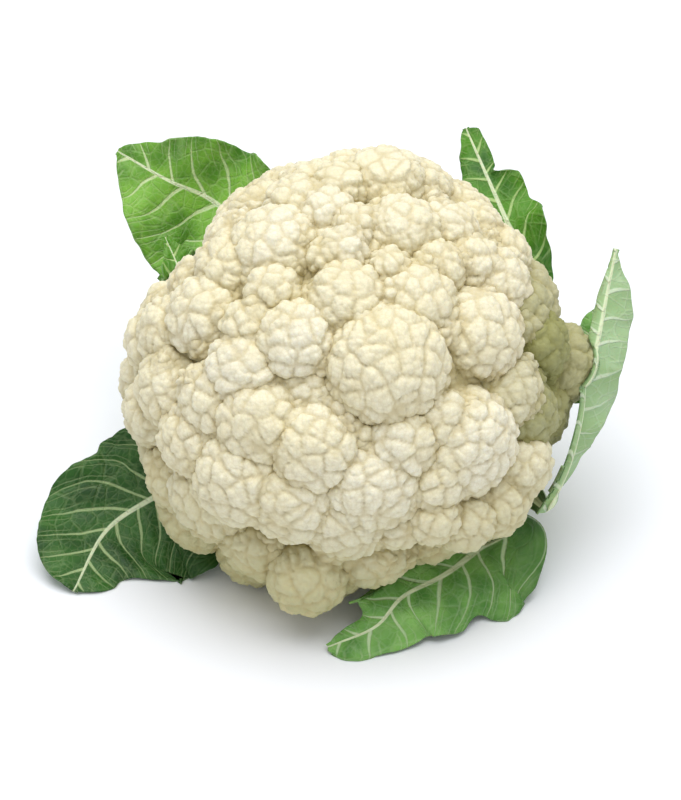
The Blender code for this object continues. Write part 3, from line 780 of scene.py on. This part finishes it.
leaves = {
    "leaf_upper_left": {
        "root": (141, 63),
        "rib": ((-34, 50, 80), (-52, 69, 92), (-71, 78, 104), (-91, 89.5, 113)),
        "faces": ((0.25, -0.35, 0.9), (0.15, -0.05, 1.0)),
        "blade": 95,
        "left": (
            (0, 2), (0.15, 20), (0.3, 35), (0.45, 41), (0.6, 39.5), (0.65, 38), (0.7, 35), (0.74, 30),
            (0.8, 24.5), (0.83, 22), (0.87, 17), (0.93, 10.5), (0.97, 5.5), (1, 0),
        ),
        "right": (
            (0, 2), (0.1, 10), (0.25, 20), (0.4, 26), (0.47, 27), (0.52, 25.5), (0.63, 24), (0.68, 23),
            (0.77, 19.5), (0.82, 16), (0.85, 12.5), (0.9, 10), (0.95, 6.5), (0.99, 2.5), (1, 0),
        ),
        "bend": (16, 14),
        "wave": (1.6, 5, 0.4),
        "stem": (7.0, 7.0),
        "steps": 130,
        "veins": 7,
        "greens": brightGreen,
    },
    "leaf_small_left": {
        "root": (172, 61),
        "rib": ((-64, 36, 84), (-68, 46, 91), (-72, 55, 97)),
        "faces": ((0.3, -0.1, 0.9), (0.2, 0.1, 1.0)),
        "blade": 40,
        "left": ((0, 2), (0.2, 6), (0.4, 8), (0.7, 5.5), (1, 0)),
        "right": ((0, 2), (0.2, 11), (0.4, 14), (0.7, 9.5), (1, 0)),
        "bend": (20, 20),
        "wave": (0.6, 5, 1.0),
        "stem": (3.6, 4.5),
        "steps": 50,
        "veins": 5,
        "greens": freshGreen,
    },
    "leaf_upper_right": {
        "root": (66, 63),
        "rib": ((52, 25, 70), (72, 45, 84), (65, 61, 95), (57, 79, 106), (48.4, 98.5, 117)),
        "faces": ((-0.2, -0.35, 0.9), (0.1, 0.0, 1.0)),
        "blade": 100,
        "left": (
            (0, 2), (0.1, 6), (0.3, 12), (0.5, 15), (0.7, 13), (0.81, 9.5), (0.87, 8), (0.9, 6),
            (0.98, 3), (1, 0),
        ),
        "right": (
            (0, 2), (0.15, 12), (0.27, 16), (0.3, 14.5), (0.33, 13.5), (0.36, 10.5), (0.4, 10.5),
            (0.43, 13.5), (0.46, 15), (0.53, 16.5), (0.56, 15), (0.6, 12.5), (0.67, 13.5), (0.71, 13),
            (0.73, 10.5), (0.75, 6), (0.765, 3.5), (0.8, 5), (0.89, 5.5), (0.97, 5), (1, 0),
        ),
        "bend": (20, 4),
        "wave": (2.4, 4, 2.2),
        "stem": (7.0, 7.0),
        "steps": 150,
        "veins": 9,
        "greens": freshGreen,
    },
    "leaf_small_right": {
        "root": (28, 61),
        "rib": ((90, -8, 56), (98, 10, 68), (102, 28, 80)),
        "faces": ((-0.4, 0.0, 0.9), (-0.2, 0.0, 1.0)),
        "blade": 50,
        "left": ((0, 2), (0.3, 5), (0.6, 7.5), (0.85, 6), (1, 0)),
        "right": ((0, 2), (0.3, 5), (0.6, 6.5), (0.85, 5), (1, 0)),
        "bend": (20, 20),
        "wave": (0.6, 3, 0.0),
        "stem": (3.6, 4.5),
        "steps": 50,
        "veins": 5,
        "greens": midGreen,
    },
    "leaf_right": {
        "root": (-6, 63),
        "rib": (
            (77, -51, 36), (83, -39, 47), (87, -25, 60), (92, -10, 71), (99, 6, 84), (105, 34, 102),
            (108.5, 50.5, 114),
        ),
        "faces": ((-0.6, 0.2, -0.75), (-0.2, 0.05, -1.0)),
        "blade": 112,
        "left": (
            (0, 2), (0.06, 3), (0.1, 4), (0.13, 8), (0.18, 12), (0.23, 14.5), (0.27, 17), (0.37, 17),
            (0.42, 18), (0.48, 19), (0.52, 17.5), (0.57, 15), (0.62, 14.5), (0.7, 14), (0.78, 14.5),
            (0.84, 11.5), (0.89, 8.5), (0.92, 5.5), (0.96, 2.5), (1, 0),
        ),
        "right": ((0, 2), (0.1, 6), (0.4, 7), (0.6, 6), (0.8, 4.5), (0.95, 2), (1, 0)),
        "bend": (16, 120),
        "wave": (1.4, 4, 0.0),
        "stem": (7.0, 7.0),
        "steps": 130,
        "veins": 9,
        "greens": paleGreen,
    },
    "leaf_lower_right": {
        "root": (-52, 63),
        "rib": ((66, -58, 22), (53, -70, 17), (40, -80, 16), (23, -89, 14), (12, -101, 8), (-7, -109, 2)),
        "faces": ((0.1, 0.42, 0.9), (0.05, 0.5, 0.85)),
        "blade": 110,
        "left": (
            (0, 2), (0.06, 5), (0.12, 14), (0.15, 19), (0.19, 25.5), (0.24, 28), (0.32, 30), (0.39, 31),
            (0.415, 28), (0.44, 22), (0.47, 20.5), (0.53, 23.5), (0.62, 21.5), (0.75, 16.5), (0.8, 13),
            (0.84, 10.5), (0.91, 10.5), (0.96, 9), (0.99, 5), (1, 0),
        ),
        "right": (
            (0, 2), (0.1, 10), (0.3, 20), (0.5, 26), (0.62, 28), (0.68, 26), (0.74, 18), (0.8, 11),
            (0.84, 6.5), (0.92, 5), (1, 0),
        ),
        "bend": (-24, 12),
        "wave": (1.6, 3, 1.5),
        "stem": (7.0, 6.5),
        "steps": 150,
        "veins": 9,
        "greens": midGreen,
    },
    "leaf_lower_left": {
        "root": (207, 63),
        "rib": ((-60, -42, 25), (-78, -50, 18), (-96, -63, 10), (-108.5, -86.5, 1.5)),
        "faces": ((0.0, 0.3, 0.95), (0.05, 0.3, 0.95)),
        "blade": 85,
        "left": (
            (0, 2), (0.1, 20), (0.2, 38), (0.38, 39.5), (0.5, 40), (0.62, 40), (0.72, 38), (0.78, 30),
            (0.82, 19), (0.86, 15.5), (0.9, 14.5), (0.94, 11.5), (0.97, 7), (1, 0),
        ),
        "right": (
            (0, 2), (0.15, 20), (0.31, 31), (0.39, 31.5), (0.44, 31), (0.47, 28), (0.52, 29), (0.6, 29.5),
            (0.66, 28), (0.72, 25.5), (0.79, 24), (0.85, 21.5), (0.92, 17), (0.98, 9.5), (1, 0),
        ),
        "bend": (4, 12),
        "wave": (1.8, 4, 0.5),
        "stem": (7.0, 6.5),
        "steps": 130,
        "veins": 8,
        "greens": deepGreen,
    },
}
blade = {
    "thickness": 1.0,
    "ribTip": 1.2,
    "ribFlow": 1.3,
    "edgeLeast": 0.9,
    "rootRun": 16,
    "ribStrips": 4,
    "bladeStrips": 22,
    "stemSteps": 14,
    "samples": 400,
    "samplesBetween": 40,  # from one point of the rib to the next, before they are spaced evenly
    "offFlorets": 2.6,
    "offCurd": 3.5,
    "offFlare": 2.0,
    "offTable": 0.2,
    "gap": 0.35,
    "tipTaper": 12,  # the rib narrows over the last twelfth
    "tipLeast": 0.35,
    "bendRun": 8,  # the blade bends up over its first eighth
    "wavePower": 1.5,  # a higher one keeps the wave nearer the edge
    "sideShift": 1.3,  # how far the left side's wave is off the right side's
    "teeth": 0.014,
    "puff": 0.55,  # how far the blade swells between its side veins
    "puffRise": 3,
    "puffFall": 4,
}
# The teeth's waves: how often, how high, and how far one side's are off the other's.
teethWaves = ((47, 1.0, 1), (89, 0.7, 3), (157, 0.6, 0))
frill = {"height": 0.5, "often": 43, "fineOften": 91, "fine": 0.6, "shift": 2, "power": 3}
# The side veins: how far each leans and curves to the tip on its way out, how it wavers with the
# way out and with the way along, as size and how often, and the left side's place between the
# right's.
sideVeins = {
    "lean": 0.62,
    "curve": 7.0,
    "outWaver": (0.10, 260),
    "alongWaver": (0.08, 17),
    "sideShift": 2.4,
    "leftPlace": 0.5,
}


def smoothLine(points):
    padded = np.vstack((2 * points[0] - points[1], points, 2 * points[-1] - points[-2]))
    pieces = []
    steps = np.linspace(0, 1, blade["samplesBetween"], endpoint=False)[:, None]
    for a, b, c, d in zip(padded, padded[1:], padded[2:], padded[3:]):
        bend = 2 * a - 5 * b + 4 * c - d
        twist = 3 * (b - c) + d - a
        pieces.append(b + 0.5 * steps * (c - a + steps * (bend + steps * twist)))
    line = np.vstack(pieces + [points[-1:]])
    lengths = np.concatenate(([0], np.cumsum(np.linalg.norm(np.diff(line, axis=0), axis=1))))
    evenly = np.linspace(0, lengths[-1], blade["samples"])
    return np.column_stack([np.interp(evenly, lengths, line[:, k]) for k in range(3)]), lengths[-1]


def layRib(leaf):
    turn, depth = leaf["root"]
    angle = math.radians(turn)
    outward = np.array((math.cos(angle), math.sin(angle), 0.0))
    start = outward * (stalkShape["radius"] + 2 * blade["gap"]) * mm - np.array((0, 0, depth * mm))
    leaving = start + outward * blade["rootRun"] * mm
    seen = [pointSeen(*(value * mm for value in spot)) for spot in leaf["rib"]]
    line, length = smoothLine(np.array([toWorld(start), toWorld(leaving)] + seen))
    leaf["start"] = 1 - leaf["blade"] * mm / length
    along = np.linspace(0, 1, blade["samples"])
    knots = (0, leaf["start"], 1)
    faces = np.array((headTurn[:, 2], *(viewTurn @ np.array(way) for way in leaf["faces"])))
    facing = np.column_stack([np.interp(along, knots, faces[:, k]) for k in range(3)])
    heading = unit(np.gradient(line, axis=0))
    facing = unit(facing - heading * np.sum(facing * heading, axis=1, keepdims=True))
    leaf["line"] = (line, heading, facing)


def offStalk(places):
    local = toHead(places)
    around = np.linalg.norm(local[..., :2], axis=-1, keepdims=True)
    needed = stalkRadius(-local[..., 2:] - blade["offFlare"] * mm) + blade["gap"] * mm
    low = local[..., 2:] < -head["seat"] * mm
    local[..., :2] *= np.where(low, np.maximum(needed / around, 1), 1)
    return toWorld(local)


def keepClear(places, half):
    for _ in range(solveRounds):
        local = toHead(places)
        far = np.linalg.norm(local, axis=-1, keepdims=True)
        rays = local / far
        reach = curdReach(rays)
        down = np.maximum(-rays[..., 2], tiny)
        reach = np.minimum(reach, head["seat"] * mm / down)
        needed = np.maximum(envelope(rays) + blade["offCurd"] * mm, reach + blade["offFlorets"] * mm)
        local = local * np.maximum((needed[..., None] + half) / far, 1)
        places = offStalk(toWorld(local))
        places[..., 2:] = np.maximum(places[..., 2:], half + blade["offTable"] * mm)
    return places


def ribSize(leaf, along):
    wide, thick = (value * mm for value in leaf["stem"])
    tip = blade["ribTip"] * mm
    half = wide + (tip - wide) * along ** (1 / blade["ribFlow"])
    half = half * np.clip((1 - along) * blade["tipTaper"], blade["tipLeast"], 1)
    return half, (thick - blade["thickness"] * mm) * (1 - along) ** blade["ribFlow"]


def outlineWidth(outline, share):
    where, widths = np.array(outline, dtype=float).T
    slopes = np.diff(widths) / np.diff(where)
    sums = slopes[:-1] + slopes[1:]
    level = slopes[:-1] * slopes[1:] <= 0
    inner = np.where(level, 0, 2 * slopes[:-1] * slopes[1:] / np.where(level, 1, sums))
    ways = np.concatenate((slopes[:1], inner, slopes[-1:]))
    near = np.clip(np.searchsorted(where, share, side="right") - 1, 0, len(slopes) - 1)
    span = where[near + 1] - where[near]
    part = (share - where[near]) / span
    rest = 1 - part
    ends = widths[near] * rest**2 * (1 + 2 * part) + widths[near + 1] * part**2 * (3 - 2 * part)
    return ends + span * part * rest * (ways[near] * rest - ways[near + 1] * part)


def halfWidth(leaf, along, across):
    share = np.clip((along - leaf["start"]) / (1 - leaf["start"]), 0, 1)
    left = outlineWidth(leaf["left"], share)
    half = np.where(across < 0, left, outlineWidth(leaf["right"], share)) * mm
    side = 2.0 * (across > 0)
    saw = sum(high * np.sin(share * often + side * shift) for often, high, shift in teethWaves)
    highest = sum(high for _, high, _ in teethWaves)
    half = half * (1 - blade["teeth"] * (1 + saw / highest) * np.sqrt(np.abs(across)))
    return np.maximum(half, ribSize(leaf, along)[0] + blade["edgeLeast"] * mm), share


def veinPhase(leaf, share, out, across):
    length = leaf["blade"] * mm
    spacing = length / leaf["veins"]
    forward = share * length - sideVeins["lean"] * out - sideVeins["curve"] * out**2
    outSize, outOften = sideVeins["outWaver"]
    alongSize, alongOften = sideVeins["alongWaver"]
    waver = outSize * np.sin(out * outOften + sideVeins["sideShift"] * np.sign(across))
    waver = waver + alongSize * np.sin(share * alongOften)
    return forward / spacing + waver + np.where(across < 0, sideVeins["leftPlace"], 0.0)


def leafSurface(leaf, along, across):
    sample = along * (blade["samples"] - 1)
    place, forward, up = (
        np.stack([np.interp(sample, range(blade["samples"]), values[:, k]) for k in range(3)], -1)
        for values in leaf["line"]
    )
    forward = unit(forward)
    up = unit(up)
    half, share = halfWidth(leaf, along, across)
    rib = ribSize(leaf, along)[0]
    onBlade = np.maximum(np.abs(across) * 2 - 1, 0)
    out = np.minimum(np.abs(across) * 2, 1) * rib + onBlade * (half - rib)
    bend = np.radians(np.where(across < 0, *leaf["bend"]))
    bend = bend * np.clip(share * blade["bendRun"], 0, 1) + tiny
    height, count, phase = leaf["wave"]
    calmEnds = np.sin(math.pi * share) ** 0.5
    wave = np.sin(2 * math.pi * count * share + phase + blade["sideShift"] * (across < 0))
    wave = wave * height * mm * onBlade ** blade["wavePower"] * calmEnds
    ruffle = np.sin(share * frill["often"] + frill["shift"] * (across > 0))
    ruffle = ruffle + frill["fine"] * np.sin(share * frill["fineOften"] + onBlade * 2)
    wave = wave + ruffle * frill["height"] * mm * onBlade ** frill["power"] * calmEnds
    veins = veinPhase(leaf, share, out, across)
    swell = 0.5 - 0.5 * np.cos(2 * math.pi * veins)
    spread = np.minimum(onBlade * blade["puffRise"], 1) * (1 - onBlade ** blade["puffFall"])
    wave = wave + blade["puff"] * mm * swell * spread
    sideways = half / bend * np.sin(bend * out / half) * np.sign(across)
    rise = half / bend * (1 - np.cos(bend * out / half)) + wave
    middle = place + np.cross(forward, up) * sideways[..., None] + up * rise[..., None]
    middle = keepClear(middle, blade["thickness"] * mm / 2)
    return middle, {"out": out, "share": share, "veins": veins, "onBlade": onBlade}


def buildLeaf(name, leaf):
    layRib(leaf)
    stemSteps = blade["stemSteps"]
    steps = stemSteps + leaf["steps"]
    strips = blade["ribStrips"] + blade["bladeStrips"]
    rows = np.interp(np.arange(steps + 1), (0, stemSteps, steps), (0, leaf["start"], 1))
    columns = np.arange(-strips, strips + 1)
    spread = np.interp(np.abs(columns), (0, blade["ribStrips"], strips), (0, 0.5, 1)) * np.sign(columns)
    along, across = np.meshgrid(rows, spread, indexing="ij")
    middle, facts = leafSurface(leaf, along, across)
    normal = unit(np.cross(np.gradient(middle, axis=1), np.gradient(middle, axis=0)))
    half = blade["thickness"] * mm / 2
    deep = ribSize(leaf, along)[1] * (1 - np.minimum(np.abs(across) * 2, 1) ** 2)
    upper = offStalk(middle + normal * half)
    lower = offStalk(middle - normal * (half + deep)[..., None])
    lower[..., 2] = np.maximum(lower[..., 2], 0)
    bm = bmesh.new()
    bmesh.ops.create_grid(bm, x_segments=steps, y_segments=2 * strips, size=1.0)
    made = bmesh.ops.extrude_face_region(bm, geom=bm.faces[:], use_keep_orig=True)
    raised = {part for part in made["geom"] if isinstance(part, bmesh.types.BMVert)}
    flat = np.array([vertex.co for vertex in bm.verts])
    isUpper = np.array([vertex in raised for vertex in bm.verts])
    row = np.rint((flat[:, 0] + 1) / 2 * steps).astype(int)
    column = np.rint((flat[:, 1] + 1) * strips).astype(int)
    places = np.where(isUpper[:, None], upper[row, column], lower[row, column])
    places = np.clip(places, cadBox[0], cadBox[1])
    for vertex, place in zip(bm.verts, places):
        vertex.co = place
    bmesh.ops.recalc_face_normals(bm, faces=bm.faces[:])
    mesh = meshFrom(bm, name)
    out = facts["out"][row, column] * np.sign(across[row, column])
    along = facts["share"][row, column] * leaf["blade"] * mm
    setAttribute(mesh, "vein", facts["veins"][row, column], facts["onBlade"][row, column], 1.0 - isUpper)
    setAttribute(mesh, "flat", along, out, np.zeros(len(out)))
    addPiece(name + "_blade", mesh, leafFinish(name, leaf), "leaf", name)


# A leaf's veins: half widths in millimetres, and the sizes of the cells between the branches and in
# the net in metres. The distance across a vein is less than the one along the rib, as it leans.
veinLook = {
    "side": 0.95,
    "sideTaper": 0.65,
    "sideAcross": 0.85,
    "forkAcross": 0.42,
    "wander": ((0.03, 0.55), (0.007, 0.12)),  # sizes of the noise, and how much of each
    "rib": 1.9,
    "ribTaper": 1.5,
    "ribBlade": 90,  # a shorter blade has a thinner midrib
    "branch": 0.0075,
    "net": 0.0026,
    "midrib": (0.70, 0.78, 0.52),
    "rootShade": (0.018, 0.075, 0.008),
}
# How much of each colour is laid on the blade, and how far each mark stands out.
leafShares = {
    "veinSheenBand": 0.3, "net": 0.08, "branches": 0.10, "branchesBehind": 0.14, "root": 0.7,
    "fork": 0.3, "side": 0.88, "sideFade": 0.5, "midrib": 0.9,
}
leafRelief = {"side": 0.9, "fork": 0.6, "branches": 0.4, "net": 0.15, "veinSheenBand": 0.5, "grain": 0.3}


def leafFinish(name, leaf):
    dark, lit, veinColour, underside = leaf["greens"]
    finish = Finish(
        name + "Finish",
        Roughness=0.45,
        Subsurface_Weight=0.08,
        Subsurface_Scale=0.001,
        Specular_IOR_Level=0.25,
    )
    place = finish.place()
    flat = finish.attribute("flat")
    veins, onBlade, under = finish.parts(finish.attribute("vein"))
    along, out, _ = finish.parts(flat)
    spacing = leaf["blade"] * mm / leaf["veins"]
    (wide, wideShare), (fine, fineShare) = veinLook["wander"]
    wander = (finish.noise(flat, wide, 1.0) - 0.5) * wideShare
    wander = wander + (finish.noise(flat, fine, 2.0) - 0.5) * fineShare
    offVein = abs((veins + wander + 0.5) % 1 - 0.5) * (spacing * veinLook["sideAcross"] / mm)
    width = veinLook["side"] - onBlade * veinLook["sideTaper"]
    sideVein = 1 - (offVein / width).step(0.4, 1.1)
    # a band along each side vein, laid with the lit green as a painted sheen, and raised a little in the
    # bump
    veinSheenBand = 1 - (offVein / width).step(0.6, 5.0)
    nearRoot = along.step(leaf["blade"] * mm * 0.5, leaf["blade"] * mm * 0.05)
    offFork = abs((veins * 2 + wander * 3 + 1) % 1 - 0.5) * (spacing * veinLook["forkAcross"] / mm)
    fork = (1 - offFork.step(0.12, 0.42)) * onBlade.step(0.35, 0.6) * (0.7 - nearRoot * 0.6)
    ribHalf = veinLook["rib"] - along * (veinLook["ribTaper"] / (leaf["blade"] * mm))
    ribHalf = ribHalf * min(leaf["blade"] / veinLook["ribBlade"], 1)
    midrib = 1 - (abs(out) / (ribHalf * mm)).step(0.6, 1.1)
    branch = finish.cells(flat, veinLook["branch"], "DISTANCE_TO_EDGE")
    net = finish.cells(flat, veinLook["net"], "DISTANCE_TO_EDGE")
    branches = 1 - branch.step(0.02, 0.075)
    fineNet = 1 - net.step(0.02, 0.14)
    mottle = finish.noise(place, 0.018, 3.0)
    colour = finish.lay(
        finish.mix(mottle.step(0.3, 0.72), dark, lit),
        # painted sheen along the side veins
        (veinSheenBand * leafShares["veinSheenBand"], lit),
        (fineNet * leafShares["net"], veinColour),
        (branches * leafShares["branches"], veinColour),
        (nearRoot * leafShares["root"], veinLook["rootShade"]),
    )
    backColour = finish.mix(mottle.step(0.25, 0.75), underside, lit)
    backColour = finish.mix(branches * leafShares["branchesBehind"], backColour, veinColour)
    colour = finish.lay(
        colour,
        (under, backColour),
        (fork * leafShares["fork"], veinColour),
        (sideVein * (leafShares["side"] - onBlade * leafShares["sideFade"]), veinColour),
        (midrib * leafShares["midrib"], veinLook["midrib"]),
    )
    marks = {"side": sideVein, "fork": fork, "branches": branches, "net": fineNet, "veinSheenBand": veinSheenBand}
    relief = sum(mark * leafRelief[kind] for kind, mark in marks.items())
    sign = under * 2 - 1
    height = relief * sign + finish.noise(flat, 0.0012, 3.0) * leafRelief["grain"]
    normal = finish.bump(height, 0.0006, 0.7)
    rough = 0.36 + mottle * 0.16 + under * 0.12
    return finish.wear(Base_Color=colour, Roughness=rough, Normal=normal)


# The table that it stands on, and the white light all round.
studio = {"table": 6.0, "grey": (0.90, 0.92, 0.97), "paler": (0.91, 0.93, 0.98), "sky": 0.50}


def buildStudio():
    bm = bmesh.new()
    bmesh.ops.create_grid(bm, x_segments=1, y_segments=1, size=studio["table"])
    mesh = meshFrom(bm, "table")
    finish = Finish("tableFinish", Roughness=0.85, Specular_IOR_Level=0.1)
    place = finish.place()
    finish.wear(Base_Color=finish.mix(finish.noise(place, 0.4), studio["grey"], studio["paler"]))
    mesh.materials.append(finish.material)
    table = bpy.data.objects.new("table", mesh)
    bpy.context.scene.collection.objects.link(table)


lamps = {
    "over": {"place": (0.0, -0.05, 1.9), "aim": (0, 0, 0.05), "size": 2.0, "power": 37.5},
    "front": {"place": (0.3, -1.7, 1.4), "aim": (0, 0, 0.07), "size": 1.2, "power": 1.0},
}


def buildLights():
    for name, lamp in lamps.items():
        light = bpy.data.lights.new(name, "AREA")
        light.shape = "SQUARE"
        light.size = lamp["size"]
        light.energy = lamp["power"]
        lampObject = bpy.data.objects.new(name, light)
        lampObject.location = lamp["place"]
        aim = Vector(lamp["aim"]) - Vector(lamp["place"])
        lampObject.rotation_euler = aim.to_track_quat("-Z", "Y").to_euler()
        bpy.context.scene.collection.objects.link(lampObject)
    world = bpy.data.worlds.new("studio")
    world.use_nodes = True
    background = world.node_tree.nodes["Background"].inputs
    background["Color"].default_value = (1, 1, 1, 1)
    background["Strength"].default_value = studio["sky"]
    bpy.context.scene.world = world
    print("studio: table and lights set")


def buildCamera():
    camera = bpy.data.cameras.new("camera")
    camera.sensor_width = photo["sensor"]
    camera.lens = photo["sensor"] * photo["distance"] / photo["acrossFrame"]
    camera.shift_x = photo["shift"][0] / photo["pixels"]
    camera.shift_y = photo["shift"][1] / photo["pixels"]
    cameraObject = bpy.data.objects.new("camera", camera)
    toCamera = Vector(viewTurn[:, 2])
    cameraObject.location = Vector(headMiddle) + toCamera * photo["distance"] * mm
    cameraObject.rotation_euler = toCamera.to_track_quat("Z", "Y").to_euler()
    bpy.context.scene.collection.objects.link(cameraObject)
    bpy.context.scene.camera = cameraObject
    bpy.context.scene.view_settings.view_transform = "Standard"
    print("camera set")


curdMaterial = curdFinish()
buildFlorets(curdMaterial)
buildStems(curdMaterial)
buildStalk(stalkFinish())
for name, leaf in leaves.items():
    buildLeaf(name, leaf)
buildStudio()
buildLights()
buildCamera()
